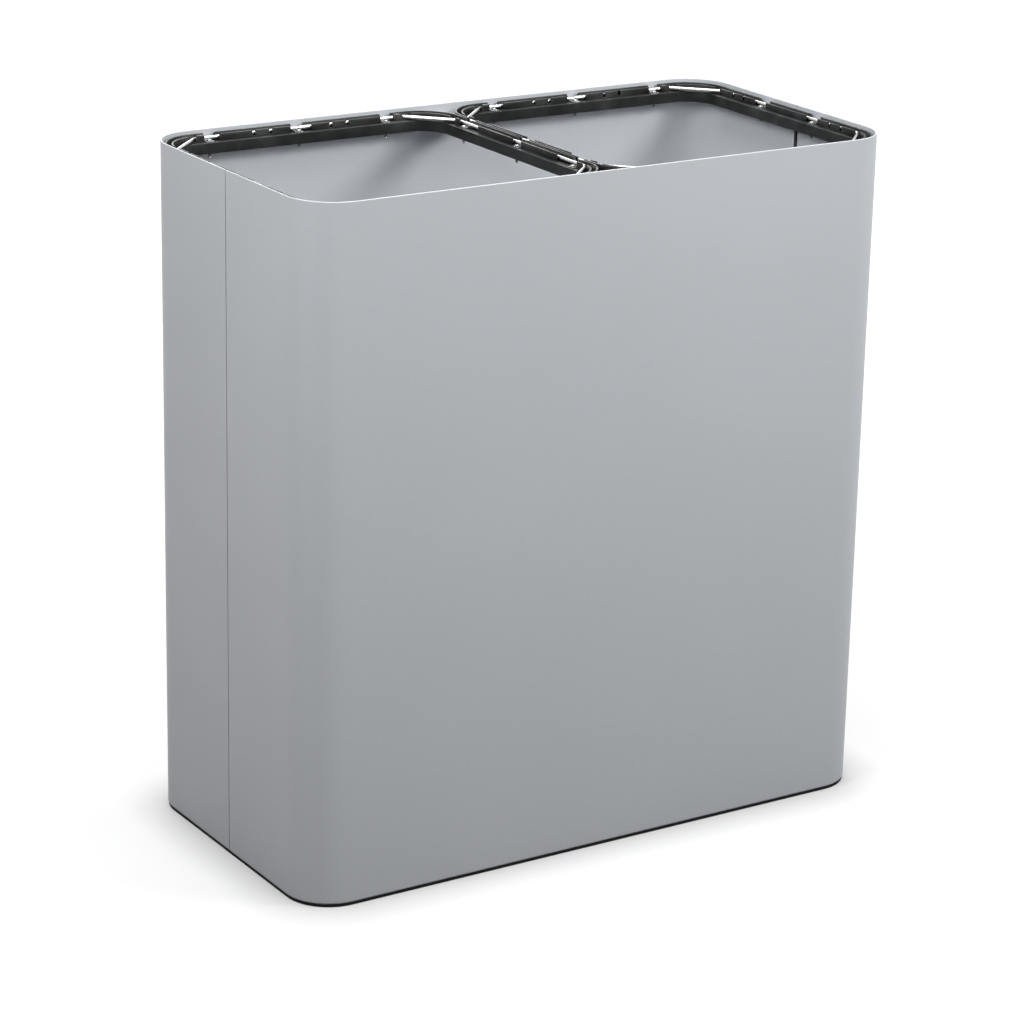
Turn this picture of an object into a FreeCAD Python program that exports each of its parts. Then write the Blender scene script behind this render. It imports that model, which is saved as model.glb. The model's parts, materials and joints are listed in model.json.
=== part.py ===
import FreeCAD, Part
import math
import os

# Double recycling bin: a sheet-steel shell in two halves with two bag frames
# side by side below its rim. Millimetres. X runs along the long side, -Y is
# the front, +Z is up. The origin is on the floor under the middle of the bin.

V = FreeCAD.Vector

# Shell
shell_width = 671.0
shell_depth = 339.0
shell_height = 700.0
corner_radius = 47.5
sheet = 1.5
lip_width = 15.0

# Seam in the middle of each short side
left_seam_y = -2.5
right_seam_y = -5.0
seam_gap = 1.2
seam_hem = 5.5
strip_cap = 2.5
strip_cap_thickness = 1.8
strip_recess = 0.4
seam_end_clearance = 1.0

# Edge ring that the shell stands on
base_ring_height = 3.0
base_ring_inset = 1.0

# Floor plate and its screws
floor_sheet = 1.2
floor_clearance = 0.4
base_nut_room = 2.5
base_screw_long_pitch = 200.0
base_screw_short_offset = 70.0

# M4 fasteners
m4_diameter = 4.0
m4_clearance_hole = 4.5
m4_fit_hole = 4.2
m4_nut_flats = 7.0
m4_nut_height = 3.2
m4_head_diameter = 7.5
m4_head_height = 2.2
m4_length = 7.0
head_hole_clearance = 0.5

# Rails inside the shell and the bar between the two bins
rail_flange = 12.6
rail_screw_clearance = 1.2
rail_sheet = 1.5
stud_length = 8.0
rail_nut_room = 0.5
rail_corner_gap = 6.0
rail_end_margin = 32.0
long_rail_stud = 90.0
short_rail_stud = 45.0
bar_screw_clearance = 3.2
bar_edge = 1.2
bar_sheet = 1.2
bar_notch_clearance = 0.2

# Bag frames
frame_clearance = 3.1
frame_gap = 2.2
ledge_drop = 10.8
ledge_thickness = 1.6
ledge_margin = 0.4
band_height = 11.2
band_wall = 1.6
band_round = 0.5
outer_wall = 1.5
outer_wall_rise = 0.8
channel_clearance = 0.35
inner_wall = 1.8

# Gaps along the sides of a bag frame, from the middle of the side
long_side_gap = (-12.0, 12.0)
long_side_notch = (-5.5, 2.0)
long_side_slots = 44.0
outer_side_gap = (35.0, 55.0)
outer_side_notch = (39.5, 48.5)
middle_side_gap = (-8.0, 8.0)
middle_side_notch = (-4.0, 4.0)
notch_slope = 4.0
slot_width = 3.4
slot_pitch = 19.0
slot_rise = 1.0

# Gaps beside the corners, from the post at the end of the side
post_length = 6.7
post_bend_gap = 0.3
bend_cover = 2.4
bend_cover_gap = 1.0
corner_gap = 17.0
middle_corner_gap = 36.0
corner_notch_start = 11.0
corner_notch_end = 5.0
outer_side_slots = 31.4
corner_wall_clearance = 1.8

# Clamp rods
rod_diameter = 4.0
rod_bend_before_corner = 3.5
rod_bend_radius = 6.0
rod_hinge_clearance = 0.05
rod_clearance = 0.3
rod_seat_clearance = 0.3
neck_diameter = 3.0
neck_start = -8.5
neck_meet = 5.0
neck_meet_gap = 0.2
sleeve_start = -1.0
sleeve_end = 12.0
sleeve_wall = 0.6
sleeve_clearance = 0.1
eye_roof = 1.45

# Clips and their screws
clip_sheet = 0.8
clip_width = 8.0
clip_back = 0.2
clip_leg_gap = 0.35
clip_leg_height = 1.4
clip_head_gap = 0.4
corner_clip = 8.0
outer_clip = 44.5
clip_offset = -3.5
clip_screw_diameter = 3.0
clip_screw_hole = 3.2
clip_head_diameter = 4.4
clip_head_height = 1.8
clip_screw_length = 17.2

# Across a bag frame, from its outer face
channel_width = rod_diameter + 2 * channel_clearance
rod_line = outer_wall + channel_width / 2
inner_wall_start = outer_wall + channel_width
inner_wall_end = inner_wall_start + inner_wall
bend_cover_line = rod_line + rod_diameter / 2 + bend_cover_gap
clip_leg_line = rod_line + rod_diameter / 2 + clip_leg_gap
clip_screw_line = clip_leg_line + clip_sheet + clip_head_gap + clip_head_diameter / 2
clip_foot_end = clip_screw_line + clip_head_diameter / 2 + clip_head_gap
band_line = clip_foot_end + ledge_margin
frame_width = band_line + band_wall

# Rails and bar, clear of the screws of the frames
nut_radius = m4_nut_flats / math.sqrt(3)
rail_leaf = frame_clearance + clip_screw_line - clip_screw_diameter / 2 - rail_screw_clearance
bar_reach = clip_screw_line - clip_screw_diameter / 2 - bar_screw_clearance
bar_width = frame_gap + 2 * bar_reach
stud_below_rail = rail_sheet + nut_radius + rail_nut_room
bar_height = stud_below_rail + m4_clearance_hole / 2 + bar_edge

# Edge ring, centred on the screws of the base
base_screw_inset = sheet + nut_radius + base_nut_room
base_ring_width = 2 * (base_screw_inset - base_ring_inset)

# Heights above the floor
shell_bottom = base_ring_height
rim = shell_bottom + shell_height
ledge_top = rim - ledge_drop
ledge_bottom = ledge_top - ledge_thickness
band_bottom = ledge_top - band_height
rail_top = ledge_bottom
rail_bottom = rail_top - rail_flange
stud_z = rail_top - stud_below_rail
lip_top = shell_bottom + sheet
floor_top = lip_top + floor_sheet
seam_start = floor_top + seam_end_clearance
seam_end = rail_bottom - seam_end_clearance
clip_top = ledge_top + clip_sheet
rod_z = clip_top + rod_seat_clearance + rod_diameter / 2
eye_radius = rod_diameter / 2 + rod_hinge_clearance
inner_wall_top = rod_z + eye_radius + eye_roof
outer_wall_top = inner_wall_top + outer_wall_rise

# Places in plan
half_width = shell_width / 2
half_depth = shell_depth / 2
inner_half_width = half_width - sheet
inner_half_depth = half_depth - sheet
frame_hx = (inner_half_width - frame_clearance - frame_gap / 2) / 2
frame_hy = inner_half_depth - frame_clearance
frame_centre = frame_gap / 2 + frame_hx
frame_radius = corner_radius - sheet - frame_clearance
seam_edges = {}
for side, seam_y in ((-1, left_seam_y), (1, right_seam_y)):
    seam_edges[side] = (seam_y - seam_gap / 2, seam_y + seam_gap / 2)
long_rail_reach = half_width - corner_radius - rail_corner_gap
short_rail_reach = half_depth - corner_radius - rail_corner_gap
tall = 2 * shell_height

# Corners of a bag frame: the rod's bends, the posts and the inner wall's ends
rod_bend_x = frame_hx - frame_radius - rod_bend_before_corner
rod_bend_y = frame_hy - frame_radius - rod_bend_before_corner
post_back = rod_bend_radius * math.tan(math.radians(22.5)) + post_bend_gap
rod_crossing = inner_wall_end - rod_line + rod_diameter / math.sqrt(2) - rod_bend_before_corner
corner_wall_reach = (rod_crossing + corner_wall_clearance) / (frame_radius - inner_wall_end)
corner_wall_angle = math.degrees(math.asin(corner_wall_reach))

os.makedirs("parts", exist_ok=True)


def save(shape, name):
    """Write one node and print its number of solids and volume."""
    print(name, len(shape.Solids), round(shape.Volume, 1), shape.isValid())
    shape.exportStep("parts/" + name + ".step")


def box(x0, x1, y0, y1, z0, z1):
    """Box between two corners, given in any order."""
    low = V(min(x0, x1), min(y0, y1), min(z0, z1))
    return Part.makeBox(abs(x1 - x0), abs(y1 - y0), abs(z1 - z0), low)


def outline(hx, hy, radius, cx=0.0):
    """Closed wire of a rounded rectangle in the plane z = 0."""
    edges = []
    corners = ((1, 1, 0), (-1, 1, 90), (-1, -1, 180), (1, -1, 270))
    arcs = []
    for sx, sy, start in corners:
        centre = V(cx + sx * (hx - radius), sy * (hy - radius), 0)
        points = []
        for turn in (0, 45, 90):
            angle = math.radians(start + turn)
            points.append(centre + V(radius * math.cos(angle), radius * math.sin(angle), 0))
        arcs.append(points)
    for i, points in enumerate(arcs):
        following = arcs[(i + 1) % 4]
        edges.append(Part.Arc(*points).toShape())
        edges.append(Part.makeLine(points[2], following[0]))
    return Part.Wire(edges)


def shell_line(inset):
    """Outline of the shell, moved inwards by the inset."""
    return outline(half_width - inset, half_depth - inset, corner_radius - inset)


def frame_line(inset, cx):
    """Outline of a bag frame, moved inwards by the inset."""
    return outline(frame_hx - inset, frame_hy - inset, frame_radius - inset, cx)


def plate(wire, z0, z1):
    """Solid of a closed outline between two heights."""
    solid = Part.Face(wire).extrude(V(0, 0, z1 - z0))
    solid.translate(V(0, 0, z0))
    return solid


def ring(line, inset0, inset1, z0, z1, *place):
    """Wall between two insets of an outline and between two heights."""
    outer = plate(line(inset0, *place), z0, z1)
    inner = plate(line(inset1, *place), z0 - 1, z1 + 1)
    return outer.cut(inner)


def pin(x, y, z0, z1, diameter):
    """Upright round pin."""
    return Part.makeCylinder(diameter / 2, z1 - z0, V(x, y, z0))


def hexagon_nut(centre, direction):
    """M4 hexagon nut with its seat at the centre point."""
    points = []
    for i in range(7):
        angle = math.radians(60 * i + 30)
        points.append(V(nut_radius * math.cos(angle), nut_radius * math.sin(angle), 0))
    solid = Part.Face(Part.makePolygon(points)).extrude(V(0, 0, m4_nut_height))
    solid = solid.cut(pin(0, 0, -1, m4_nut_height + 1, m4_fit_hole))
    turn = FreeCAD.Rotation(V(0, 0, 1), direction)
    solid.Placement = FreeCAD.Placement(centre, turn)
    return solid


def fused(solids):
    """One solid of several that touch or overlap."""
    return solids[0].multiFuse(solids[1:]).removeSplitter()


# Fasteners of the rails: a point on the shell's inner face and its way in
end_stud = long_rail_reach - rail_end_margin
long_studs = (-end_stud, -long_rail_stud, 0.0, long_rail_stud, end_stud)
front_studs = [(V(x, -inner_half_depth, stud_z), V(0, 1, 0)) for x in long_studs]
rear_studs = [(V(x, inner_half_depth, stud_z), V(0, -1, 0)) for x in long_studs]
side_studs = []
for side in (-1, 1):
    for y in (-short_rail_stud, short_rail_stud):
        side_studs.append((V(side * inner_half_width, y, stud_z), V(-side, 0, 0)))
all_studs = front_studs + rear_studs + side_studs

# Screws of the base, in plan
base_points = []
base_line_x = half_width - base_screw_inset
base_line_y = half_depth - base_screw_inset
for side in (-1, 1):
    for i in (-1, 0, 1):
        base_points.append((i * base_screw_long_pitch, side * base_line_y))
    for y in (-base_screw_short_offset, base_screw_short_offset):
        base_points.append((side * base_line_x, y))


def make_shell_halves():
    """Front and rear half, each with its lip and hems."""
    tube = ring(shell_line, 0, sheet, shell_bottom, rim)
    lip = ring(shell_line, 0, lip_width, shell_bottom, lip_top)
    whole = tube.fuse(lip)
    for x, y in base_points:
        whole = whole.cut(pin(x, y, 0, floor_top, m4_clearance_hole))
    far = shell_width
    front_room = fused([box(0, side * far, -far, seam_edges[side][0], -1, tall)
                        for side in (-1, 1)])
    rear_room = fused([box(0, side * far, seam_edges[side][1], far, -1, tall)
                       for side in (-1, 1)])
    front = whole.common(front_room)
    rear = [whole.common(rear_room)]
    for side in (-1, 1):
        x0 = side * (inner_half_width + sheet / 2)
        x1 = side * (inner_half_width - sheet)
        edge = seam_edges[side][1]
        hem = box(x0, x1, edge, edge + seam_hem, seam_start, seam_end)
        rear.append(hem)
    return front.removeSplitter(), fused(rear)


def make_weld_studs():
    """Threaded studs on the shell's inner face, which hold the rails."""
    solids = []
    for start, inward in all_studs:
        solids.append(Part.makeCylinder(m4_diameter / 2, stud_length, start, inward))
    return Part.makeCompound(solids)


def make_joint_strip(side):
    """Black strip in a seam: a web between the halves and a cap inside."""
    x_out = side * (half_width - strip_recess)
    x_face = side * inner_half_width
    x_in = side * (inner_half_width - strip_cap_thickness)
    front_edge, rear_edge = seam_edges[side]
    web = box(x_out, x_face, front_edge, rear_edge, lip_top, seam_end)
    root = box(x_out, x_in, front_edge, rear_edge, seam_start, seam_end)
    cap = box(x_face, x_in, front_edge - strip_cap, front_edge, seam_start, seam_end)
    return fused([web, root, cap])


def make_base_ring():
    """Edge ring under the lip, with room for the screw heads."""
    inner = base_ring_inset + base_ring_width
    solid = ring(shell_line, base_ring_inset, inner, 0, base_ring_height)
    for x, y in base_points:
        hole = m4_head_diameter + 2 * head_hole_clearance
        solid = solid.cut(pin(x, y, -1, base_ring_height + 1, hole))
    return solid


def make_floor_plate():
    """Plate on the lip, just inside the shell."""
    solid = plate(shell_line(sheet + floor_clearance), lip_top, floor_top)
    for x, y in base_points:
        solid = solid.cut(pin(x, y, 0, rim, m4_fit_hole))
    return solid


def make_base_screws():
    """Screws through the lip and the floor plate, heads in the edge ring."""
    solids = []
    for x, y in base_points:
        head = pin(x, y, shell_bottom - m4_head_height, shell_bottom, m4_head_diameter)
        shank = pin(x, y, shell_bottom - 1, shell_bottom + m4_length, m4_diameter)
        solids.append(head.fuse(shank))
    return Part.makeCompound(solids)


def make_base_nuts():
    """Nuts on the base screws, on the floor plate."""
    solids = [hexagon_nut(V(x, y, floor_top), V(0, 0, 1)) for x, y in base_points]
    return Part.makeCompound(solids)


def make_long_rail(side):
    """Angle along a long side, notched for the centre bar."""
    face = side * inner_half_depth
    back = side * (inner_half_depth - rail_sheet)
    edge = side * (inner_half_depth - rail_leaf)
    ends = (-long_rail_reach, long_rail_reach)
    flange = box(*ends, face, back, rail_bottom, rail_top)
    leaf = box(*ends, face, edge, rail_top - rail_sheet, rail_top)
    half_notch = bar_width / 2 + bar_notch_clearance
    notch = box(-half_notch, half_notch, back, edge, rail_top - 2 * rail_sheet, rail_top + 1)
    solid = fused([flange, leaf]).cut(notch)
    studs = front_studs if side < 0 else rear_studs
    return drill(solid, studs)


def make_short_rail(side):
    """Angle along a short side, across the seam."""
    face = side * inner_half_width
    back = side * (inner_half_width - rail_sheet)
    edge = side * (inner_half_width - rail_leaf)
    ends = (-short_rail_reach, short_rail_reach)
    flange = box(face, back, *ends, rail_bottom, rail_top)
    leaf = box(face, edge, *ends, rail_top - rail_sheet, rail_top)
    studs = [stud for stud in side_studs if stud[0].x * side > 0]
    return drill(fused([flange, leaf]), studs)


def drill(solid, studs):
    """Cut a clearance hole along each stud."""
    for start, inward in studs:
        root = start - inward
        hole = Part.makeCylinder(m4_clearance_hole / 2, 2 * stud_length, root, inward)
        solid = solid.cut(hole)
    return solid


def make_centre_bar():
    """Channel between the bins, open below, with an end plate at each rail."""
    reach = inner_half_depth - rail_sheet
    half = bar_width / 2
    low = rail_top - bar_height
    solid = box(-half, half, -reach, reach, low, rail_top)
    hollow = box(-half + bar_sheet, half - bar_sheet, -reach + bar_sheet, reach - bar_sheet,
                 low - 1, rail_top - bar_sheet)
    studs = [stud for stud in front_studs + rear_studs if stud[0].x == 0]
    return drill(solid.cut(hollow), studs)


def make_rail_nuts():
    """Nuts on the weld studs, on the rails and on the bar's end plates."""
    solids = []
    for start, inward in all_studs:
        depth = rail_sheet
        if start.x == 0:
            depth += bar_sheet
        solids.append(hexagon_nut(start + inward * depth, inward))
    return Part.makeCompound(solids)


def side_box(hand, side, s0, s1, d0, d1, z0, z1):
    """Box on one side of a bag frame: along it, inwards from it and up."""
    cx = hand * frame_centre
    if side == "rear":
        return box(cx + s0, cx + s1, frame_hy - d0, frame_hy - d1, z0, z1)
    if side == "front":
        return box(cx + s0, cx + s1, d0 - frame_hy, d1 - frame_hy, z0, z1)
    out = hand if side == "outer" else -hand
    return box(cx + out * (frame_hx - d0), cx + out * (frame_hx - d1), s0, s1, z0, z1)


def side_point(hand, side, s, d, z):
    """Point on one side of a bag frame."""
    cx = hand * frame_centre
    if side == "rear":
        return V(cx + s, frame_hy - d, z)
    if side == "front":
        return V(cx + s, d - frame_hy, z)
    out = hand if side == "outer" else -hand
    return V(cx + out * (frame_hx - d), s, z)


def both(span):
    """A span on one half of a side, and its mirror on the other half."""
    return [span, (-span[1], -span[0])]


# Each side of a frame: where its gaps, notches, slots and clips lie
SIDES = ("rear", "front", "outer", "middle")
post_ends = {}
post_starts = {}
wall_gaps = {}
wall_notches = {}
slot_centres = {}
clip_centres = {}
for side in SIDES:
    bend = rod_bend_x if side in ("rear", "front") else rod_bend_y
    end = bend - post_back
    start = end - post_length
    notch = (start - corner_notch_start, start - corner_notch_end)
    post_ends[side] = end
    post_starts[side] = start
    if side == "outer":
        wall_gaps[side] = both(outer_side_gap)
        wall_notches[side] = both(outer_side_notch)
        slot_centres[side] = (outer_side_slots - end, end - outer_side_slots)
        clip_centres[side] = (-outer_clip, outer_clip)
    elif side == "middle":
        wall_gaps[side] = [middle_side_gap] + both((start - middle_corner_gap, start))
        wall_notches[side] = [middle_side_notch] + both(notch)
        slot_centres[side] = ()
        clip_centres[side] = (corner_clip - start, 0.0, start - corner_clip)
    else:
        wall_gaps[side] = [long_side_gap] + both((start - corner_gap, start))
        wall_notches[side] = [long_side_notch] + both(notch)
        slot_centres[side] = (-long_side_slots, long_side_slots)
        clip_centres[side] = (corner_clip - start, 0.0, start - corner_clip)


def clip_places(hand, d, z):
    """Every clip of a bag frame, as its side, its place along it and a point."""
    places = []
    for side in SIDES:
        for centre in clip_centres[side]:
            s = centre + clip_offset
            places.append((side, s, side_point(hand, side, s, d, z)))
    return places


def between(cuts, reach):
    """The spans that the cuts leave on a side, from end to end."""
    edges = [-reach]
    for start, end in sorted(cuts):
        edges += [start, end]
    edges.append(reach)
    spans = zip(edges[::2], edges[1::2])
    return [span for span in spans if span[1] - span[0] > 1]


def notch_cut(hand, side, span):
    """Gap with sloping ends in the outer wall."""
    low = ledge_top - 1
    high = outer_wall_top + 1
    rows = []
    for s, z in ((span[0], low), (span[1], low),
                 (span[1] + notch_slope, high), (span[0] - notch_slope, high)):
        rows.append(side_point(hand, side, s, -1, z))
    rows.append(rows[0])
    way = side_point(hand, side, 0, outer_wall + 0.1, 0) - side_point(hand, side, 0, -1, 0)
    return Part.Face(Part.makePolygon(rows)).extrude(way)


def make_bag_frame(hand):
    """Black frame: a ledge all round and the band that hangs from it."""
    cx = hand * frame_centre
    band = ring(frame_line, band_line, frame_width, band_bottom, ledge_top, cx)
    edges = []
    inner = frame_line(frame_width, cx)
    for edge in band.Edges:
        middle = edge.valueAt((edge.FirstParameter + edge.LastParameter) / 2)
        flat = V(middle.x, middle.y, 0)
        level = edge.BoundBox.ZLength < 0.001
        if level and inner.distToShape(Part.Vertex(flat))[0] < 0.001:
            edges.append(edge)
    band = band.makeFillet(band_round, edges)
    ledge = ring(frame_line, 0, band_line, ledge_bottom, ledge_top, cx)
    solid = fused([ledge, band])
    for side, s, point in clip_places(hand, clip_screw_line, 0):
        solid = solid.cut(pin(point.x, point.y, band_bottom, rim, clip_screw_hole))
    return solid


def make_side_guides(hand, side):
    """Straight guides on one side: outer wall, floor and slotted inner wall."""
    end = post_ends[side] if side == "outer" else post_starts[side]
    outer_reach = end if side == "outer" else end - corner_notch_end
    walls = between(wall_notches[side], outer_reach)
    channels = between(wall_gaps[side], end)
    guides = []
    for wall_span, span in zip(walls, channels):
        outer = side_box(hand, side, *wall_span, 0, outer_wall, ledge_top, outer_wall_top)
        for notch in wall_notches[side]:
            outer = outer.cut(notch_cut(hand, side, notch))
        floor = side_box(hand, side, *span, 0, inner_wall_end, ledge_top, clip_top)
        inner = side_box(hand, side, *span, inner_wall_start, inner_wall_end,
                         ledge_top, inner_wall_top)
        for centre in slot_centres[side]:
            for shift in (-slot_pitch / 2, slot_pitch / 2):
                s0 = centre + shift - slot_width / 2
                s1 = centre + shift + slot_width / 2
                slot = side_box(hand, side, s0, s1, inner_wall_start - 1, inner_wall_end + 1,
                                ledge_top + slot_rise, rim)
                inner = inner.cut(slot)
        guides.append(fused([outer, floor, inner]))
    return guides


def make_post(hand, side, span):
    """Post beside a corner: an eye on the rear side, a fork elsewhere."""
    post = side_box(hand, side, *span, outer_wall / 2, inner_wall_end, ledge_top, inner_wall_top)
    if side == "rear":
        root = side_point(hand, side, span[0] - 1, rod_line, rod_z)
        return post.cut(Part.makeCylinder(eye_radius, post_length + 2, root, V(1, 0, 0)))
    half = rod_diameter / 2 + rod_clearance
    slot = side_box(hand, side, span[0] - 1, span[1] + 1,
                    rod_line - half, rod_line + half, rod_z - half, rim)
    return post.cut(slot)


def make_corner_guide(hand, end, flank):
    """Curved guide: outer wall, floor, posts and the inner wall's arc."""
    cx = hand * frame_centre
    sx = hand if flank == "outer" else -hand
    sy = 1 if end == "rear" else -1
    along = post_starts[end]
    down = post_ends[flank] if flank == "outer" else post_starts[flank]
    wall_down = down if flank == "outer" else down - corner_notch_end
    wall_along = along - corner_notch_end
    far = 2 * frame_hx
    wall_room = box(cx + sx * wall_along, cx + sx * far, sy * wall_down, sy * far, 0, tall)
    room = box(cx + sx * along, cx + sx * far, sy * down, sy * far, 0, tall)
    outer = ring(frame_line, 0, outer_wall, ledge_top, outer_wall_top, cx).common(wall_room)
    floor = ring(frame_line, 0, inner_wall_end, ledge_top, clip_top, cx).common(room)
    arc = ring(frame_line, inner_wall_start, inner_wall_end, ledge_top, inner_wall_top, cx)
    arc = arc.common(corner_sector(cx, sx, sy))
    for side in (end, flank):
        for notch in wall_notches[side]:
            outer = outer.cut(notch_cut(hand, side, notch))
    pieces = [outer, floor, arc]
    for side, way in ((end, sx), (flank, sy)):
        start = post_starts[side]
        stop = post_ends[side]
        cover = (way * stop, way * (stop + bend_cover))
        pieces.append(side_box(hand, side, *cover, bend_cover_line, inner_wall_end,
                               ledge_top, inner_wall_top))
        if side != "outer":
            span = (start, stop) if way > 0 else (-stop, -start)
            pieces.append(make_post(hand, side, span))
    return fused(pieces)


def corner_sector(cx, sx, sy):
    """Sector of a frame's corner in which the inner wall turns."""
    centre = V(cx + sx * (frame_hx - frame_radius), sy * (frame_hy - frame_radius), 0)
    points = [centre]
    for turn in (corner_wall_angle, 90 - corner_wall_angle):
        angle = math.radians(turn)
        reach = 2 * frame_radius
        points.append(centre + V(sx * reach * math.cos(angle), sy * reach * math.sin(angle), 0))
    points.append(centre)
    return Part.Face(Part.makePolygon(points)).extrude(V(0, 0, tall))


def rod_path(hand):
    """Centre line of a clamp rod, from the root of one neck to that of the other."""
    cx = hand * frame_centre
    lx = frame_hx - rod_line
    ly = frame_hy - rod_line
    bx = rod_bend_x
    by = rod_bend_y
    points = [
        V(cx + sleeve_end + neck_meet_gap, ly, rod_z),
        V(cx + bx, ly, rod_z),
        V(cx + lx, by, rod_z),
        V(cx + lx, -by, rod_z),
        V(cx + bx, -ly, rod_z),
        V(cx - bx, -ly, rod_z),
        V(cx - lx, -by, rod_z),
        V(cx - lx, by, rod_z),
        V(cx - bx, ly, rod_z),
        V(cx + neck_start, ly, rod_z),
    ]
    edges = []
    last = points[0]
    for before, corner, after in zip(points, points[1:], points[2:]):
        back = (before - corner).normalize()
        on = (after - corner).normalize()
        half_turn = (math.pi - back.getAngle(on)) / 2
        reach = rod_bend_radius * math.tan(half_turn)
        start = corner + back * reach
        end = corner + on * reach
        inward = (back + on).normalize()
        depth = rod_bend_radius / math.cos(half_turn) - rod_bend_radius
        edges.append(Part.makeLine(last, start))
        edges.append(Part.Arc(start, corner + inward * depth, end).toShape())
        last = end
    edges.append(Part.makeLine(last, points[-1]))
    return Part.Wire(edges)


def make_clamp_rod(hand):
    """Bent rod whose two necked ends meet in the sleeve."""
    path = rod_path(hand)
    first = V(hand * frame_centre + sleeve_end + neck_meet_gap, frame_hy - rod_line, rod_z)
    circle = Part.makeCircle(rod_diameter / 2, first, V(1, 0, 0))
    rod = path.makePipeShell([Part.Wire([circle])], True, False)
    section = math.pi * rod_diameter ** 2 / 4
    print("rod volume against section times length", rod.Volume / (section * path.Length))
    root = hand * frame_centre
    y = frame_hy - rod_line
    pieces = [rod]
    for x0, x1 in ((neck_start - 0.5, neck_meet), (neck_meet + neck_meet_gap, sleeve_end + 0.5)):
        start = V(root + x0, y, rod_z)
        pieces.append(Part.makeCylinder(neck_diameter / 2, x1 - x0, start, V(1, 0, 0)))
    return fused(pieces)


def make_rod_sleeve(hand):
    """Tube over the two necks of a clamp rod."""
    start = V(hand * frame_centre + sleeve_start, frame_hy - rod_line, rod_z)
    length = sleeve_end - sleeve_start
    bore = neck_diameter / 2 + sleeve_clearance
    tube = Part.makeCylinder(bore + sleeve_wall, length, start, V(1, 0, 0))
    return tube.cut(Part.makeCylinder(bore, length, start, V(1, 0, 0)))


def make_rod_clips(hand):
    """Sheet clips in the gaps: a foot under the rod and a leg beside it."""
    back = outer_wall + clip_back
    leg_end = clip_leg_line + clip_sheet
    half = clip_width / 2
    solids = []
    for side, s, point in clip_places(hand, clip_screw_line, 0):
        foot = side_box(hand, side, s - half, s + half, back, clip_foot_end, ledge_top, clip_top)
        leg = side_box(hand, side, s - half, s + half, clip_leg_line, leg_end,
                       ledge_top, clip_top + clip_leg_height)
        clip = fused([foot, leg])
        solids.append(clip.cut(pin(point.x, point.y, 0, rim, clip_screw_hole)))
    return Part.makeCompound(solids)


def make_clip_screws(hand):
    """Screws through the clips, with round tips below the ledge."""
    solids = []
    tip = clip_top - clip_screw_length + clip_screw_diameter / 2
    for side, s, point in clip_places(hand, clip_screw_line, 0):
        x = point.x
        y = point.y
        head = pin(x, y, clip_top, clip_top + clip_head_height, clip_head_diameter)
        rims = [edge for edge in head.Edges
                if abs(edge.BoundBox.ZMin - clip_top - clip_head_height) < 0.001
                and edge.BoundBox.ZLength < 0.001]
        head = head.makeFillet(clip_head_height * 0.6, rims)
        shank = pin(x, y, tip, clip_top + clip_head_height / 3, clip_screw_diameter)
        ball = Part.makeSphere(clip_screw_diameter / 2, V(x, y, tip))
        solids.append(fused([head, shank, ball]))
    return Part.makeCompound(solids)


front_half, rear_half = make_shell_halves()
save(front_half, "front_shell_half")
save(rear_half, "rear_shell_half")
save(make_weld_studs(), "weld_studs")
save(make_joint_strip(-1), "left_joint_strip")
save(make_joint_strip(1), "right_joint_strip")
save(make_base_ring(), "base_edge_ring")
save(make_floor_plate(), "floor_plate")
save(make_base_screws(), "base_screws")
save(make_base_nuts(), "base_nuts")
save(make_long_rail(-1), "front_support_rail")
save(make_long_rail(1), "rear_support_rail")
save(make_short_rail(-1), "left_support_rail")
save(make_short_rail(1), "right_support_rail")
save(make_centre_bar(), "centre_support_bar")
save(make_rail_nuts(), "rail_nuts")
for name, hand in (("left", -1), ("right", 1)):
    save(make_bag_frame(hand), name + "_bag_frame")
    for side in SIDES:
        for i, guide in enumerate(make_side_guides(hand, side)):
            save(guide, name + "_" + side + "_guide_" + str(i + 1))
    for end in ("rear", "front"):
        for flank in ("outer", "middle"):
            guide = make_corner_guide(hand, end, flank)
            save(guide, name + "_" + end + "_" + flank + "_corner_guide")
    save(make_clamp_rod(hand), name + "_clamp_rod")
    save(make_rod_sleeve(hand), name + "_rod_sleeve")
    save(make_rod_clips(hand), name + "_rod_clips")
    save(make_clip_screws(hand), name + "_clip_screws")
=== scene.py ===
import json
import math

import bmesh
import bpy
from mathutils import Matrix, Vector


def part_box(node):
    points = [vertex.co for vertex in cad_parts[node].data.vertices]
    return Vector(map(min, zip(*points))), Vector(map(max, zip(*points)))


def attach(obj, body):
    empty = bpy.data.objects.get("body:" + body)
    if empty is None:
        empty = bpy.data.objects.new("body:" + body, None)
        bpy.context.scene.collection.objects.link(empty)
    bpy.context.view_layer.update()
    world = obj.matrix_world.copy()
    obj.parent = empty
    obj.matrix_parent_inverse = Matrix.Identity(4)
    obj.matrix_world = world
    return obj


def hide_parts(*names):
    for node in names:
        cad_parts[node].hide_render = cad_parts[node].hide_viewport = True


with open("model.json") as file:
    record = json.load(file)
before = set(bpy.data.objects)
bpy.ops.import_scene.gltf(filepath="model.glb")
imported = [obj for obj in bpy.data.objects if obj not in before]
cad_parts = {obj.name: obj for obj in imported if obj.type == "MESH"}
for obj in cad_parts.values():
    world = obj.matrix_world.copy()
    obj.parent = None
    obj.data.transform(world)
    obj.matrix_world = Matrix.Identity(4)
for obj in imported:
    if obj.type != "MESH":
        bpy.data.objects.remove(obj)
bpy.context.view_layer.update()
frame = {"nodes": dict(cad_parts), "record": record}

# Double recycling bin. Metres, Z up, front towards -Y, origin on the floor.
MM = 0.001
TURN = 2 * math.pi

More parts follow.
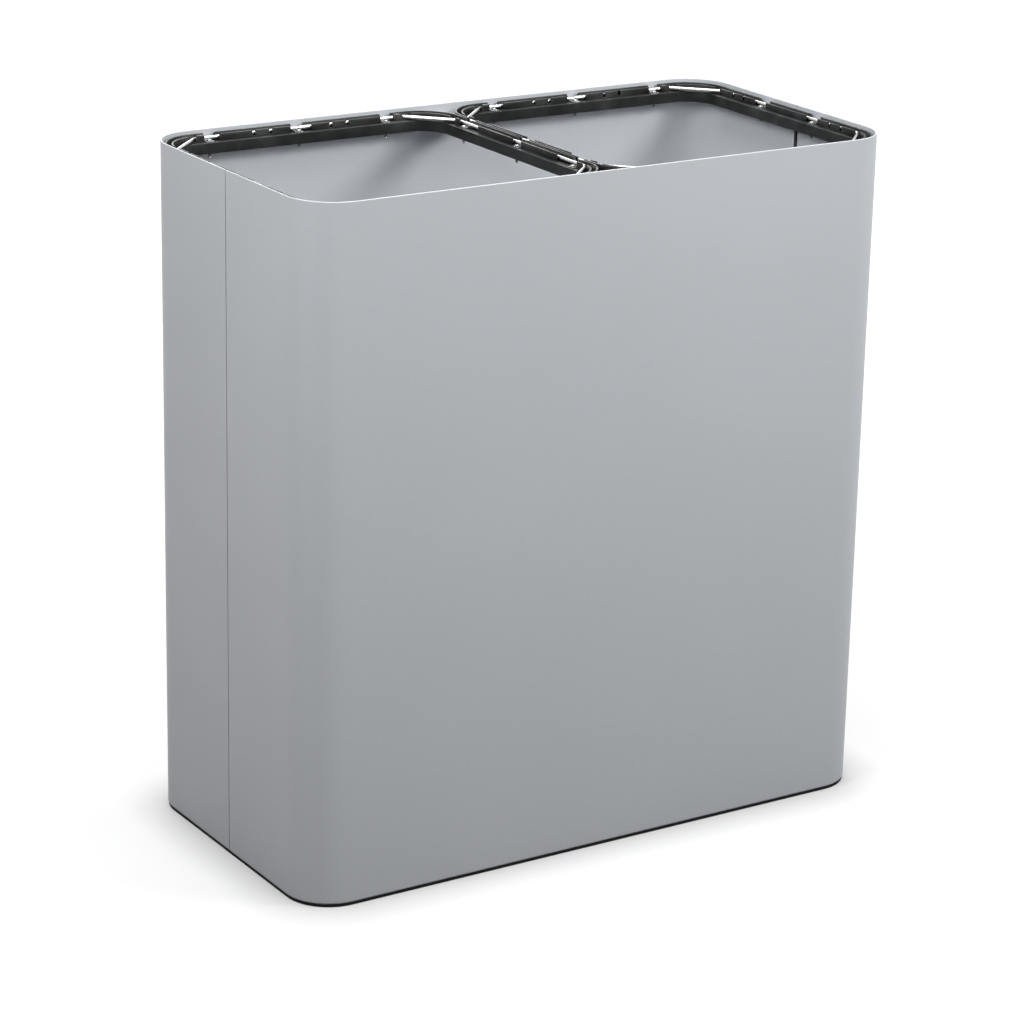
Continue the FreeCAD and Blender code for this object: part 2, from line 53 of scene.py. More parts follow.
# Shell, as in the solids
SHELL_LOW, SHELL_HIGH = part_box("front_shell_half")[0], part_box("rear_shell_half")[1]
HALF_WIDTH = SHELL_HIGH.x
HALF_DEPTH = SHELL_HIGH.y
SHELL_BOTTOM = SHELL_LOW.z
RIM = SHELL_HIGH.z
CORNER_RADIUS = 47.5 * MM
SHEET = 1.5 * MM
LIP_WIDTH = 15.0 * MM
SEAM_GAP = 1.2 * MM
# Where the rear half begins at the left and the right seam
REAR_EDGES = {-1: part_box("left_joint_strip")[1].y, 1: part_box("right_joint_strip")[1].y}
HEM_WIDTH = 5.5 * MM
HEM_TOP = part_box("left_joint_strip")[1].z
HEM_START_ABOVE_LIP = 2.2 * MM
RIM_ROUND = 0.65 * MM
BEND_OUTER = 2.0 * MM
BEND_INNER = 0.5 * MM
EDGE_ROUND = 0.4 * MM
FLAT_MARGIN = 0.5 * MM
CORNER_STEPS = 28

# Threads: depth and crest as shares of the pitch, and the end as a share of the radius
STUD_PITCH = 0.7 * MM
STUD_TIP = 0.7
THREAD_DEPTH = 0.3
CREST_START, CREST_END = 0.4, 0.6
THREAD_SIDES = 20

# Clip screws; the recess narrows from its mouth to its floor
SCREW_HEAD_HEIGHT = 1.8 * MM
SCREW_HEAD_ROUND = 0.55 * SCREW_HEAD_HEIGHT
SCREW_SHANK_RADIUS = 1.5 * MM
SCREW_PITCH = 0.8 * MM
RECESS_MOUTH, RECESS_THROAT, RECESS_FLOOR = 0.62, 0.85, 0.4
RECESS_THROAT_DEPTH = 0.15 * MM
RECESS_DEPTH = 0.9 * MM
TIP_ANGLES = (0.5, 0.9, 1.25)
TIP_RADIUS = 0.2 * MM

# How meshes are made, cleaned and shaded
ROUND_SIDES = 28
SAME_POINT = 2e-6
FLAT_ANGLE = math.radians(0.6)
SHARP_ANGLE = math.radians(35)
CURVED_ANGLES = (0.005, 0.6)

# Clamp rods
ROD_RADIUS = 2.0 * MM
ROD_BEND_RADIUS = 6.0 * MM
ROD_SIDES = 24
ROD_BEND_STEPS = 8
NECK_RADIUS = 1.5 * MM
NECK_START = -8.5 * MM
NECK_MEET = 5.0 * MM
NECK_GAP = 0.2 * MM
NECK_CHAMFER = 0.3 * MM
SLEEVE_END = 12.0 * MM
SLEEVE_CLEARANCE = 0.1 * MM
SLEEVE_ROUND = 0.15 * MM
ROD_BEND_X = 118.5 * MM
ROD_BEND_Y = 118.5 * MM

# Camera that matches the photograph's view
CAMERA_PLACE = Vector((-1804.81, -2816.63, 1429.63)) * MM
CAMERA_AZIMUTH = 33.127
CAMERA_DOWN = 17.996
CAMERA_ROLL = 1.376
CAMERA_FOCAL_PX = 3426.11
CAMERA_CENTRE_PX = (544.02, 479.86)
IMAGE_PX = 1024
SENSOR = 36.0
VIEW_END = 60.0

# Floor: glow beside the bin, the span over which it rises to 1, how far the painted
# shade at the bin's foot reaches, and how much light the floor throws back
FLOOR_HALF = 12.0
FLOOR_GLOW = 0.62
GLOW_SPAN = (0.6, 1.8)
FLOOR_PAINTED_SHADE_REACH = 0.055
FLOOR_BOUNCE = 0.08

# Light: the even part, and lamps by name, place, size and power
WORLD_LIGHT = 0.02
AIM = (0.0, 0.0, 0.45)
LAMPS = (
    ("key_lamp", (0.40, -1.95, 1.40), (0.5, 0.5), 6.5),
    ("front_lamp", (-0.3, -1.25, 1.9), (1.0, 0.6), 6.2),
    ("corner_lamp", (-1.35, -1.45, 1.75), (0.5, 0.5), 6.2),
    ("left_lamp", (-1.5, -0.3, 1.8), (0.6, 1.0), 24.0),
    ("right_lamp", (1.35, -1.45, 1.8), (0.7, 0.7), 33.0),
    ("top_lamp", (0.1, 0.2, 1.9), (1.2, 0.8), 22.5),
    ("rear_lamp", (0.8, 2.5, 1.8), (1.8, 1.0), 26.0),
)


# ---------------------------------------------------------------- materials


class Surface:
    """A procedural material: a shader with colour, roughness and bump from noises."""

    def __init__(self, name):
        self.material = bpy.data.materials.new(name)
        self.material.use_nodes = True
        self.nodes = self.material.node_tree.nodes
        self.links = self.material.node_tree.links
        self.shader = self.nodes["Principled BSDF"]
        self.place = self.add("ShaderNodeTexCoord").outputs["Object"]

    def add(self, kind, **values):
        node = self.nodes.new(kind)
        for key, value in values.items():
            setattr(node, key, value)
        return node

    def link(self, source, target):
        self.links.new(source, target)

    def noise(self, scale, detail=2.0):
        """Cloudy noise; the scale is in clouds per metre."""
        node = self.add("ShaderNodeTexNoise")
        node.inputs["Scale"].default_value = scale
        node.inputs["Detail"].default_value = detail
        self.link(self.place, node.inputs["Vector"])
        return node.outputs["Fac"]

    def cells(self, scale):
        """Random colour in each cell of a cell pattern."""
        node = self.add("ShaderNodeTexVoronoi")
        node.inputs["Scale"].default_value = scale
        self.link(self.place, node.inputs["Vector"])
        return node.outputs["Color"]

    def spread(self, value, low, high, start=0.3, end=0.7):
        """A value mapped to a range."""
        node = self.add("ShaderNodeMapRange")
        node.inputs["From Min"].default_value = start
        node.inputs["From Max"].default_value = end
        node.inputs["To Min"].default_value = low
        node.inputs["To Max"].default_value = high
        self.link(value, node.inputs["Value"])
        return node.outputs["Result"]

    def colours(self, value, stops):
        """A value mapped to a row of colours."""
        node = self.add("ShaderNodeValToRGB")
        ramp = node.color_ramp
        while len(ramp.elements) < len(stops):
            ramp.elements.new(0.5)
        for element, (position, colour) in zip(ramp.elements, stops):
            element.position = position
            element.color = (*colour, 1.0)
        self.link(value, node.inputs["Fac"])
        return node.outputs["Color"]

    def multiplied(self, first, second):
        """Two colours multiplied."""
        node = self.add("ShaderNodeMix", data_type="RGBA", blend_type="MULTIPLY")
        sockets = {s.name: s for s in node.inputs if s.enabled}
        sockets["Factor"].default_value = 1.0
        self.link(first, sockets["A"])
        self.link(second, sockets["B"])
        return [s for s in node.outputs if s.enabled][0]

    def bump(self, *layers):
        """Bumps on top of each other, each a height, its depth and its strength."""
        normal = None
        for height, depth, strength in layers:
            node = self.add("ShaderNodeBump")
            node.inputs["Strength"].default_value = strength
            node.inputs["Distance"].default_value = depth
            self.link(height, node.inputs["Height"])
            if normal:
                self.link(normal, node.inputs["Normal"])
            normal = node.outputs["Normal"]
        self.link(normal, self.shader.inputs["Normal"])

    def set(self, **values):
        """Constants on the shader's own sockets."""
        for key, value in values.items():
            self.shader.inputs[key.replace("_", " ")].default_value = value

    def feed(self, **sources):
        """Textures linked to the shader's sockets."""
        for key, source in sources.items():
            self.link(source, self.shader.inputs[key.replace("_", " ")])


def grey(value, warm=0.0):
    """Neutral colour, a little warm or cool."""
    return (value * (1 + warm), value, value * (1 - warm))


def tinted(value):
    """Silver paint's bluish grey."""
    return (value * 0.955, value * 0.995, value * 1.045)


def shell_paint():
    """Satin silver powder coat: fine orange peel and small metal flakes."""
    s = Surface("silver_powder_coat")
    flakes = s.noise(2600, 1.0)
    clouds = s.noise(5.0, 3.0)
    base = s.colours(flakes, [(0.30, tinted(0.50)), (0.55, tinted(0.54)), (0.80, tinted(0.60))])
    tint = s.colours(clouds, [(0.3, grey(0.97)), (0.7, grey(1.0))])
    s.feed(Base_Color=s.multiplied(base, tint),
           Roughness=s.spread(s.noise(9.0, 3.0), 0.42, 0.50))
    s.set(Metallic=0.06, Specular_IOR_Level=0.4)
    s.bump((s.noise(420, 2.0), 0.00006, 0.25), (flakes, 0.00002, 0.25))
    return s.material


def black_plastic():
    """Moulded black plastic with a fine grain and dull rubbed patches."""
    s = Surface("black_moulded_plastic")
    grain = s.noise(1900, 2.0)
    base = s.colours(s.noise(35, 4.0), [
        (0.35, (0.006, 0.0066, 0.0063)), (0.55, (0.014, 0.015, 0.0142)),
        (0.85, (0.045, 0.047, 0.045))])
    s.feed(Base_Color=base, Roughness=s.spread(s.noise(60, 4.0), 0.30, 0.48))
    s.set(Specular_IOR_Level=0.28)
    s.bump((grain, 0.00003, 0.3), (s.noise(12, 2.0), 0.0002, 0.1))
    return s.material


def black_rubber():
    """Matt black rubber with a fine tooth."""
    s = Surface("black_rubber_edge")
    base = s.colours(s.noise(80, 4.0), [(0.3, grey(0.005)), (0.7, grey(0.010))])
    s.feed(Base_Color=base, Roughness=s.spread(s.noise(150, 3.0), 0.7, 0.85))
    s.set(Specular_IOR_Level=0.15)
    s.bump((s.noise(1500, 2.0), 0.00005, 0.4),)
    return s.material


def zinc_steel():
    """Zinc-coated sheet: soft spangles and a dull sheen."""
    s = Surface("zinc_coated_sheet")
    spangle = s.cells(130)
    cool = -0.02
    base = s.colours(spangle, [(0.0, grey(0.40, cool)), (0.5, grey(0.46, cool)),
                               (1.0, grey(0.52, cool))])
    s.feed(Base_Color=base, Roughness=s.spread(spangle, 0.38, 0.52, 0.0, 1.0))
    s.set(Metallic=0.85)
    s.bump((s.noise(900, 2.0), 0.00003, 0.25),)
    return s.material


def bright_steel():
    """Bright plated small parts: faint rolling lines and small stains."""
    s = Surface("bright_plated_steel")
    stains = s.noise(260, 3.0)
    base = s.colours(stains, [(0.3, (0.22, 0.23, 0.22)), (0.7, (0.38, 0.39, 0.38))])
    s.feed(Base_Color=base, Roughness=s.spread(s.noise(700, 3.0), 0.22, 0.34))
    s.set(Metallic=1.0)
    s.bump((s.noise(1600, 2.0), 0.00002, 0.3),)
    return s.material


def rod_steel():
    """Polished rod: drawn lines that only show in the gloss."""
    s = Surface("polished_rod_steel")
    base = s.colours(s.noise(90, 3.0), [(0.3, grey(0.52, 0.005)), (0.7, grey(0.62, 0.005))])
    s.feed(Base_Color=base, Roughness=s.spread(s.noise(420, 4.0), 0.14, 0.22))
    s.set(Metallic=1.0)
    s.bump((s.noise(1100, 2.0), 0.00001, 0.3),)
    return s.material


MATERIALS = {
    "shell_paint": shell_paint(),
    "black_plastic": black_plastic(),
    "black_rubber": black_rubber(),
    "zinc_steel": zinc_steel(),
    "bright_steel": bright_steel(),
    "rod_steel": rod_steel(),
}
SLOT_OF = {row["node"]: row["material_slot"] for row in frame["record"]["subparts"]}
BODY_OF = {node: body for body, nodes in frame["record"]["behaviour"]["bodies"].items()
           for node in nodes}


# ------------------------------------------------------------------- meshes


def new_piece(name, work):
    """Object of a finished bmesh, sharp only at its sharp edges."""
    bmesh.ops.recalc_face_normals(work, faces=work.faces)
    mesh = bpy.data.meshes.new(name)
    work.to_mesh(mesh)
    work.free()
    mesh.set_sharp_from_angle(angle=SHARP_ANGLE)
    piece = bpy.data.objects.new(name, mesh)
    bpy.context.scene.collection.objects.link(piece)
    return piece


def dress(piece, node):
    """Let a piece stand for a node, with its body, slot and material."""
    piece.data.materials.clear()
    piece.data.materials.append(MATERIALS[SLOT_OF[node]])
    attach(piece, BODY_OF[node])
    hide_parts(node)
    return piece


def loft(work, rows, closed_loft=False):
    """Skin over closed rows of points of equal length, with flat ends or closed in a ring."""
    lines = [[work.verts.new(point) for point in row] for row in rows]
    count = len(rows[0])
    pairs = list(zip(lines, lines[1:]))
    if closed_loft:
        pairs.append((lines[-1], lines[0]))
    for first, second in pairs:
        for i in range(count):
            j = (i + 1) % count
            work.faces.new((first[i], first[j], second[j], second[i])).smooth = True
    if not closed_loft:
        work.faces.new(lines[0])
        work.faces.new(lines[-1])


def arc(centre, radius, start, end, steps):
    """Points of an arc in a plane, with both ends; angles in degrees."""
    points = []
    for i in range(steps + 1):
        angle = math.radians(start + (end - start) * i / steps)
        points.append((centre[0] + radius * math.cos(angle), centre[1] + radius * math.sin(angle)))
    return points


def spun(work, profile, root, direction, sides=ROUND_SIDES):
    """Solid of revolution: rows of radius and height along a direction."""
    tilt = Vector(direction).to_track_quat("Z", "Y").to_matrix()
    rows = []
    for radius, height in profile:
        row = []
        for i in range(sides):
            angle = TURN * i / sides
            row.append(Vector(root) + tilt @ Vector((radius * math.cos(angle),
                                                     radius * math.sin(angle), height)))
        rows.append(row)
    loft(work, rows)


def threaded(radius, start, end, pitch):
    """Profile of a threaded shank between two heights."""
    depth = THREAD_DEPTH * pitch
    rows = []
    count = int((end - start) / pitch)
    for i in range(count):
        low = start + i * pitch
        rows.append((radius - depth, low))
        rows.append((radius, low + CREST_START * pitch))
        rows.append((radius, low + CREST_END * pitch))
    rows.append((radius - depth, start + count * pitch))
    return rows


def bevelled_copy(node, size, steps=2, angle=50.0):
    """The node's own form with its sharp edges rounded."""
    work = bmesh.new()
    work.from_mesh(frame["nodes"][node].data)
    bmesh.ops.remove_doubles(work, verts=work.verts, dist=SAME_POINT)
    bmesh.ops.dissolve_limit(work, angle_limit=FLAT_ANGLE, verts=work.verts, edges=work.edges)
    sharp = [edge for edge in work.edges
             if len(edge.link_faces) == 2 and edge.calc_face_angle(0) > math.radians(angle)]
    round_edges(work, sharp, size, steps)
    return dress(new_piece(node + "_finished", work), node)


def round_edges(work, edges, size, steps):
    """Round edges; flat faces stay flat, curved and rounded ones are smooth."""
    made = set(bmesh.ops.bevel(work, geom=edges, offset=size, segments=steps, profile=0.5,
                               affect="EDGES", clamp_overlap=True)["faces"])
    for face in made:
        face.smooth = True
    for edge in work.edges:
        if len(edge.link_faces) == 2 and not made.intersection(edge.link_faces):
            if CURVED_ANGLES[0] < edge.calc_face_angle(0) < CURVED_ANGLES[1]:
                for face in edge.link_faces:
                    face.smooth = True


def islands(node):
    """Lowest and highest corner of each separate solid of a node."""
    work = bmesh.new()
    work.from_mesh(frame["nodes"][node].data)
    bmesh.ops.remove_doubles(work, verts=work.verts, dist=SAME_POINT)
    left = set(work.verts)
    boxes = []
    while left:
        group = [left.pop()]
        for vert in group:
            for edge in vert.link_edges:
                other = edge.other_vert(vert)
                if other in left:
                    left.remove(other)
                    group.append(other)
        low = Vector([min(v.co[i] for v in group) for i in range(3)])
        high = Vector([max(v.co[i] for v in group) for i in range(3)])
        boxes.append((low, high))
    work.free()
    return sorted(boxes, key=lambda box: (round(box[0].x, 4), round(box[0].y, 4)))


# -------------------------------------------------------------------- shell


def half_outline(inset, side):
    """Half of the shell's outline from seam to seam; side is -1 front, 1 rear."""
    left, right = [REAR_EDGES[way] - (SEAM_GAP if side < 0 else 0) for way in (-1, 1)]
    radius = CORNER_RADIUS - inset
    cx = HALF_WIDTH - CORNER_RADIUS
    cy = HALF_DEPTH - CORNER_RADIUS
    wide = HALF_WIDTH - inset
    deep = HALF_DEPTH - inset
    points = [(-wide, side * left), (-wide, cy - FLAT_MARGIN)]
    points += arc((-cx, cy), radius, 180, 90, CORNER_STEPS)
    points += [(FLAT_MARGIN - cx, deep), (cx - FLAT_MARGIN, deep)]
    points += arc((cx, cy), radius, 90, 0, CORNER_STEPS)
    points += [(wide, cy - FLAT_MARGIN), (wide, side * right)]
    return [(x, side * y) for x, y in points]


def shell_section():
    """Section of the shell's sheet: distance inwards and height."""
    lip_top = SHELL_BOTTOM + SHEET
    high = RIM - RIM_ROUND - FLAT_MARGIN
    rows = [(0, high)]
    rows += arc((RIM_ROUND, RIM - RIM_ROUND), RIM_ROUND, 180, 90, 5)
    rows += arc((SHEET - RIM_ROUND, RIM - RIM_ROUND), RIM_ROUND, 90, 0, 5)
    rows += [(SHEET, high), (SHEET, lip_top + BEND_INNER + FLAT_MARGIN)]
    rows += arc((SHEET + BEND_INNER, lip_top + BEND_INNER), BEND_INNER, 180, 270, 4)
    rows += arc((LIP_WIDTH - EDGE_ROUND, lip_top - EDGE_ROUND), EDGE_ROUND, 90, 0, 3)
    rows += arc((LIP_WIDTH - EDGE_ROUND, SHELL_BOTTOM + EDGE_ROUND), EDGE_ROUND, 0, -90, 3)
    rows += arc((BEND_OUTER, SHELL_BOTTOM + BEND_OUTER), BEND_OUTER, 270, 180, 6)
    rows.append((0, SHELL_BOTTOM + BEND_OUTER + FLAT_MARGIN))
    return rows


def make_shell_half(name, side):
    """Sheet half with a rounded rim, its lip and its hems."""
    work = bmesh.new()
    columns = []
    for inset, height in shell_section():
        columns.append([Vector((x, y, height)) for x, y in half_outline(inset, side)])
    loft(work, [list(row) for row in zip(*columns)])
    if side > 0:
        low = SHELL_BOTTOM + SHEET + HEM_START_ABOVE_LIP
        for way in (-1, 1):
            x0 = way * (HALF_WIDTH - SHEET)
            x1 = way * (HALF_WIDTH - 2 * SHEET)
            edge = REAR_EDGES[way]
            add_box(work, (x0, x1), (edge, edge + HEM_WIDTH), (low, HEM_TOP), EDGE_ROUND)
    return dress(new_piece(name + "_finished", work), name)


def make_weld_studs():
    """Threaded studs that stand on the shell's inner face."""
    node = "weld_studs"
    work = bmesh.new()
    for low, high in islands(node):
        root = (low + high) / 2
        size = high - low
        axis = 1 if size.y > size.x else 0
        radius = size.z / 2
        length = size[axis]
        way = Vector((0, 0, 0))
        way[axis] = -math.copysign(1, root[axis])
        root[axis] -= way[axis] * length / 2
        rows = threaded(radius, 0, length - STUD_PITCH, STUD_PITCH)
        rows.append((STUD_TIP * radius, length))
        spun(work, rows, root, way, THREAD_SIDES)
    return dress(new_piece(node + "_finished", work), node)


def add_box(work, xs, ys, zs, round_size):
    """Box with rounded edges."""
    made = bmesh.ops.create_cube(work, size=1.0)["verts"]
    size = Vector((abs(xs[1] - xs[0]), abs(ys[1] - ys[0]), abs(zs[1] - zs[0])))
    middle = Vector(((xs[0] + xs[1]) / 2, (ys[0] + ys[1]) / 2, (zs[0] + zs[1]) / 2))
    for vert in made:
        vert.co = middle + Vector([vert.co[i] * size[i] for i in range(3)])
    edges = list({edge for vert in made for edge in vert.link_edges})
    for face in bmesh.ops.bevel(work, geom=edges, offset=round_size, segments=2, profile=0.5,
                                affect="EDGES")["faces"]:
        face.smooth = True


# ------------------------------------------------------------------- frames


def rod_line(side):
    """Centre line of a clamp rod, between the roots of its necks."""
    low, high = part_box(side + "_clamp_rod")
    cx = (low.x + high.x) / 2
    lx = (high.x - low.x) / 2 - ROD_RADIUS
    ly = (high.y - low.y) / 2 - ROD_RADIUS
    z = (low.z + high.z) / 2
    corners = [
        (SLEEVE_END + NECK_GAP, ly), (ROD_BEND_X, ly), (lx, ROD_BEND_Y), (lx, -ROD_BEND_Y),
        (ROD_BEND_X, -ly), (-ROD_BEND_X, -ly), (-lx, -ROD_BEND_Y), (-lx, ROD_BEND_Y),
        (-ROD_BEND_X, ly), (NECK_START, ly),
    ]
    corners = [Vector((cx + x, y, z)) for x, y in corners]
    points = [corners[0]]
    for before, corner, after in zip(corners, corners[1:], corners[2:]):
        back = (before - corner).normalized()
        on = (after - corner).normalized()
        half_turn = (math.pi - back.angle(on)) / 2
        reach = ROD_BEND_RADIUS * math.tan(half_turn)
        inward = (back + on).normalized()
        centre = corner + inward * (ROD_BEND_RADIUS / math.cos(half_turn))
        start = corner + back * reach - centre
        end = corner + on * reach - centre
        for i in range(ROD_BEND_STEPS + 1):
            share = i / ROD_BEND_STEPS
            spoke = (start * (1 - share) + end * share).normalized() * ROD_BEND_RADIUS
            points.append(centre + spoke)
    points.append(corners[-1])
    return points, Vector((cx, ly, z))


def make_clamp_rod(side):
    """Bright bent rod with its two necks."""
    node = side + "_clamp_rod"
    points, middle = rod_line(side)
    work = bmesh.new()
    up = Vector((0, 0, 1))
    rows = []
    for i, point in enumerate(points):
        before = points[max(i - 1, 0)]
        after = points[min(i + 1, len(points) - 1)]
        along = (after - before).normalized()
        out = along.cross(up).normalized()
        row = []
        for k in range(ROD_SIDES):
            angle = TURN * k / ROD_SIDES
            row.append(point + (out * math.cos(angle) + up * math.sin(angle)) * ROD_RADIUS)
        rows.append(row)
    loft(work, rows)
    necks = ((SLEEVE_END + NECK_GAP, -1, SLEEVE_END - NECK_MEET),
             (NECK_START, 1, NECK_MEET - NECK_START))
    for start, way, length in necks:
        profile = [(NECK_RADIUS, -NECK_CHAMFER), (NECK_RADIUS, length - NECK_CHAMFER),
                   (NECK_RADIUS - NECK_CHAMFER, length)]
        spun(work, profile, middle + Vector((start, 0, 0)), (way, 0, 0), THREAD_SIDES)
    return dress(new_piece(node + "_finished", work), node)


def make_rod_sleeve(side):
    """Tube over the rod's necks, with rolled ends."""
    node = side + "_rod_sleeve"
    low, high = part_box(node)
    outer = (high.z - low.z) / 2
    length = high.x - low.x
    bore = NECK_RADIUS + SLEEVE_CLEARANCE
    rim = SLEEVE_ROUND
    work = bmesh.new()
    outside = [(bore, rim), (bore + rim, 0), (outer - rim, 0), (outer, rim),
               (outer, length - rim), (outer - rim, length), (bore + rim, length),
               (bore, length - rim)]
    root = Vector((low.x, (low.y + high.y) / 2, (low.z + high.z) / 2))
    tilt = Vector((1, 0, 0)).to_track_quat("Z", "Y").to_matrix()
    rows = []
    for i in range(ROUND_SIDES):
        angle = TURN * i / ROUND_SIDES
        rows.append([root + tilt @ Vector((r * math.cos(angle), r * math.sin(angle), h))
                     for r, h in outside])
    loft(work, rows, closed_loft=True)
    return dress(new_piece(node + "_finished", work), node)


def make_clip_screws(side):
    """Pan-head screws with a recess, a thread and a round tip."""
    node = side + "_clip_screws"
    work = bmesh.new()
    for low, high in islands(node):
        middle = (low + high) / 2
        head_radius = (high.x - low.x) / 2
        head_height = SCREW_HEAD_HEIGHT
        shank = SCREW_SHANK_RADIUS
        seat = high.z - head_height
        root = Vector((middle.x, middle.y, seat))
        rows = [(shank, -0.2 * MM), (head_radius * 0.96, 0.0), (head_radius, 0.25 * MM)]
        rows += arc((head_radius - SCREW_HEAD_ROUND, head_height - SCREW_HEAD_ROUND),
                    SCREW_HEAD_ROUND, 0, 90, 6)
        recess = RECESS_MOUTH * head_radius
        rows += [(recess, head_height),
                 (recess * RECESS_THROAT, head_height - RECESS_THROAT_DEPTH),
                 (recess * RECESS_FLOOR, head_height - RECESS_DEPTH)]
        spun(work, rows, root, (0, 0, 1))
        tip = low.z - seat
        shaft = [(TIP_RADIUS, tip)]
        shaft += [(shank * math.sin(angle), tip + shank * (1 - math.cos(angle)))
                  for angle in TIP_ANGLES]
        shaft += threaded(shank, tip + shank, -0.1 * MM, SCREW_PITCH)
        spun(work, shaft, root, (0, 0, 1), THREAD_SIDES)
    return dress(new_piece(node + "_finished", work), node)


# -------------------------------------------------------------------- build

make_shell_half("front_shell_half", -1)
make_shell_half("rear_shell_half", 1)
make_weld_studs()
for node in ("left_joint_strip", "right_joint_strip"):
    bevelled_copy(node, 0.2 * MM)
bevelled_copy("base_edge_ring", 0.4 * MM)
for node in ("floor_plate", "centre_support_bar", "front_support_rail", "rear_support_rail",
             "left_support_rail", "right_support_rail"):
    bevelled_copy(node, 0.3 * MM)
for node in ("rail_nuts", "base_nuts", "base_screws"):
    bevelled_copy(node, 0.25 * MM, 2, 40)
for side in ("left", "right"):
    for node in BODY_OF:
        if node.startswith(side) and (node.endswith("_bag_frame") or "_guide" in node):
            bevelled_copy(node, 0.3 * MM)
    bevelled_copy(side + "_rod_clips", 0.15 * MM)
    make_clamp_rod(side)
    make_rod_sleeve(side)
    make_clip_screws(side)


# -------------------------------------------------------------------- stage


def shown_rays(tree):
    """One where a camera, glossy or transmission ray looks at the surface."""
    path = tree.nodes.new("ShaderNodeLightPath")
    total = None
    for name in ("Is Camera Ray", "Is Glossy Ray", "Is Transmission Ray"):
        if total is None:
            total = path.outputs[name]
            continue
        node = tree.nodes.new("ShaderNodeMath")
        node.operation = "MAXIMUM"
        tree.links.new(total, node.inputs[0])
        tree.links.new(path.outputs[name], node.inputs[1])
        total = node.outputs[0]
    return total


def make_floor():
    """Pale floor that keeps the lamps' shadow, has a painted shade at the bin's foot and shows
    white elsewhere.
    """
    work = bmesh.new()
    corners = ((-1, -1), (1, -1), (1, 1), (-1, 1))
    work.faces.new([work.verts.new((x * FLOOR_HALF, y * FLOOR_HALF, 0)) for x, y in corners])
    floor = new_piece("floor", work)
    surface = Surface("pale_floor")
    tree = surface.material.node_tree
    seen = shown_rays(tree)
    wash = surface.noise(1.3, 3.0)
    surface.feed(Base_Color=surface.colours(wash, [(0.3, grey(0.33)), (0.7, grey(0.35))]))
    surface.set(Roughness=0.9, Specular_IOR_Level=0.1)
    far = surface.add("ShaderNodeVectorMath", operation="LENGTH")
    surface.link(surface.place, far.inputs[0])
    # Painted contact shade: ambient occlusion dims the floor's glow near the bin's foot
    painted_foot_shade = surface.add("ShaderNodeAmbientOcclusion", samples=8)
    painted_foot_shade.inputs["Distance"].default_value = FLOOR_PAINTED_SHADE_REACH
    glow_with_painted_shade = surface.add("ShaderNodeMath", operation="MULTIPLY")
    surface.link(surface.spread(far.outputs["Value"], FLOOR_GLOW, 1.0, *GLOW_SPAN),
                 glow_with_painted_shade.inputs[0])
    surface.link(painted_foot_shade.outputs["AO"], glow_with_painted_shade.inputs[1])
    glow = tree.nodes.new("ShaderNodeEmission")
    tree.links.new(glow_with_painted_shade.outputs[0], glow.inputs["Strength"])
    both = tree.nodes.new("ShaderNodeAddShader")
    tree.links.new(surface.shader.outputs[0], both.inputs[0])
    tree.links.new(glow.outputs[0], both.inputs[1])
    dim = tree.nodes.new("ShaderNodeBsdfDiffuse")
    dim.inputs["Color"].default_value = (*grey(FLOOR_BOUNCE), 1)
    mix = tree.nodes.new("ShaderNodeMixShader")
    tree.links.new(seen, mix.inputs[0])
    tree.links.new(dim.outputs[0], mix.inputs[1])
    tree.links.new(both.outputs[0], mix.inputs[2])
    output = [n for n in tree.nodes if n.type == "OUTPUT_MATERIAL"][0]
    tree.links.new(mix.outputs[0], output.inputs["Surface"])
    floor.data.materials.append(surface.material)


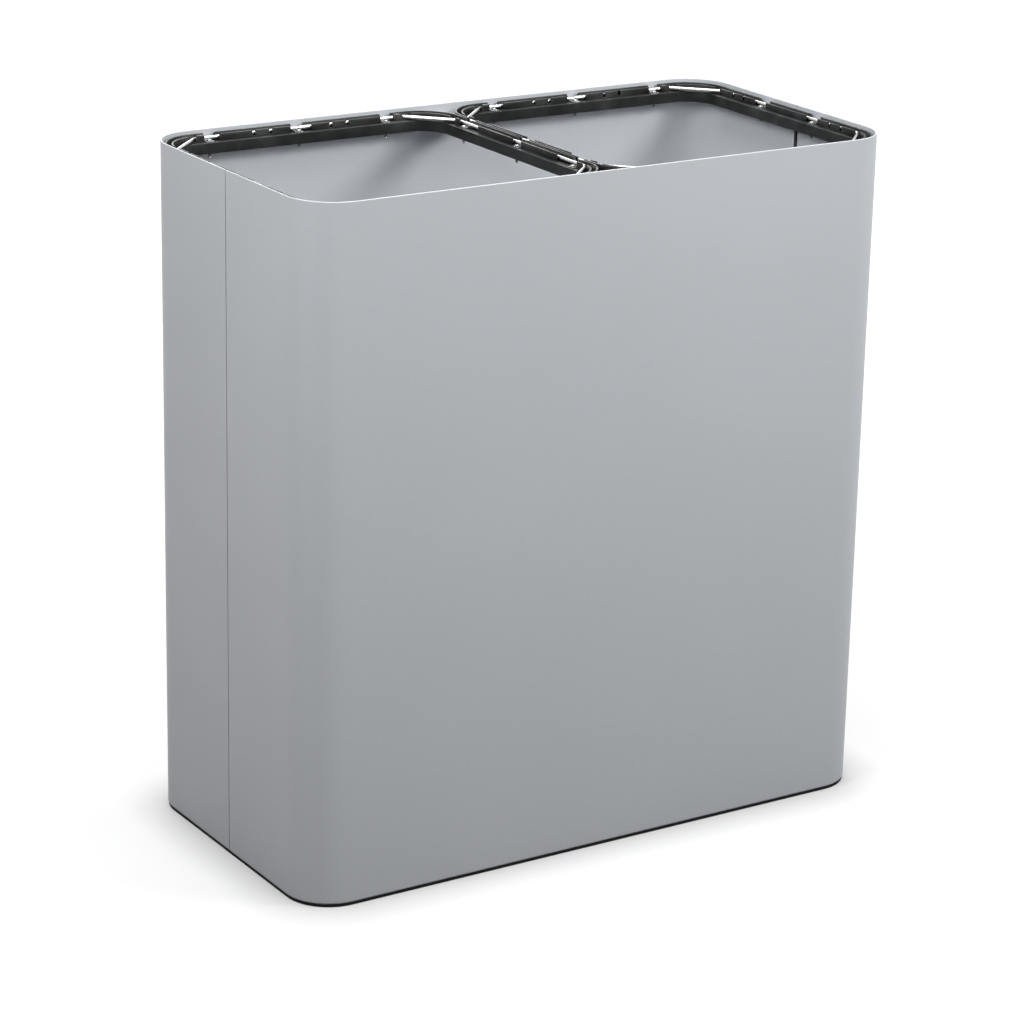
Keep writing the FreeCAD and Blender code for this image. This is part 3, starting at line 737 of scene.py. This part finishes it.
def make_world():
    """Even studio light that the camera sees as plain white."""
    world = bpy.data.worlds.new("studio")
    bpy.context.scene.world = world
    world.use_nodes = True
    tree = world.node_tree
    tree.nodes.clear()
    seen = shown_rays(tree)
    light = tree.nodes.new("ShaderNodeBackground")
    light.inputs["Color"].default_value = (*grey(1.0, -0.01), 1)
    light.inputs["Strength"].default_value = WORLD_LIGHT
    shown = tree.nodes.new("ShaderNodeBackground")
    shown.inputs["Color"].default_value = (1, 1, 1, 1)
    shown.inputs["Strength"].default_value = 1.0
    mix = tree.nodes.new("ShaderNodeMixShader")
    tree.links.new(seen, mix.inputs[0])
    tree.links.new(light.outputs[0], mix.inputs[1])
    tree.links.new(shown.outputs[0], mix.inputs[2])
    output = tree.nodes.new("ShaderNodeOutputWorld")
    tree.links.new(mix.outputs[0], output.inputs["Surface"])


def make_lamp(name, place, target, size, power):
    """Soft rectangular lamp."""
    lamp = bpy.data.lights.new(name, "AREA")
    lamp.shape = "RECTANGLE"
    lamp.size, lamp.size_y = size
    lamp.energy = power
    piece = bpy.data.objects.new(name, lamp)
    bpy.context.scene.collection.objects.link(piece)
    way = Vector(target) - Vector(place)
    turn = way.to_track_quat("-Z", "Y").to_matrix().to_4x4()
    piece.matrix_world = Matrix.Translation(place) @ turn


def make_camera():
    """Camera at the photograph's viewing angle."""
    azimuth = math.radians(CAMERA_AZIMUTH)
    down = math.radians(CAMERA_DOWN)
    roll = math.radians(CAMERA_ROLL)
    forward = Vector((math.sin(azimuth) * math.cos(down), math.cos(azimuth) * math.cos(down),
                      -math.sin(down)))
    right = Vector((math.cos(azimuth), -math.sin(azimuth), 0))
    up = right.cross(forward)
    right_rolled = right * math.cos(roll) + up * math.sin(roll)
    up_rolled = up * math.cos(roll) - right * math.sin(roll)
    data = bpy.data.cameras.new("photo_view")
    data.sensor_width = SENSOR
    data.lens = CAMERA_FOCAL_PX / IMAGE_PX * SENSOR
    data.shift_x = 0.5 - CAMERA_CENTRE_PX[0] / IMAGE_PX
    data.shift_y = CAMERA_CENTRE_PX[1] / IMAGE_PX - 0.5
    data.clip_end = VIEW_END
    camera = bpy.data.objects.new("photo_view", data)
    bpy.context.scene.collection.objects.link(camera)
    turn = Matrix((right_rolled, up_rolled, -forward)).transposed().to_4x4()
    camera.matrix_world = Matrix.Translation(CAMERA_PLACE) @ turn
    bpy.context.scene.camera = camera


make_camera()
make_floor()
make_world()
for name, place, size, power in LAMPS:
    make_lamp(name, place, AIM, size, power)

scene = bpy.context.scene
scene.view_settings.view_transform = "Standard"
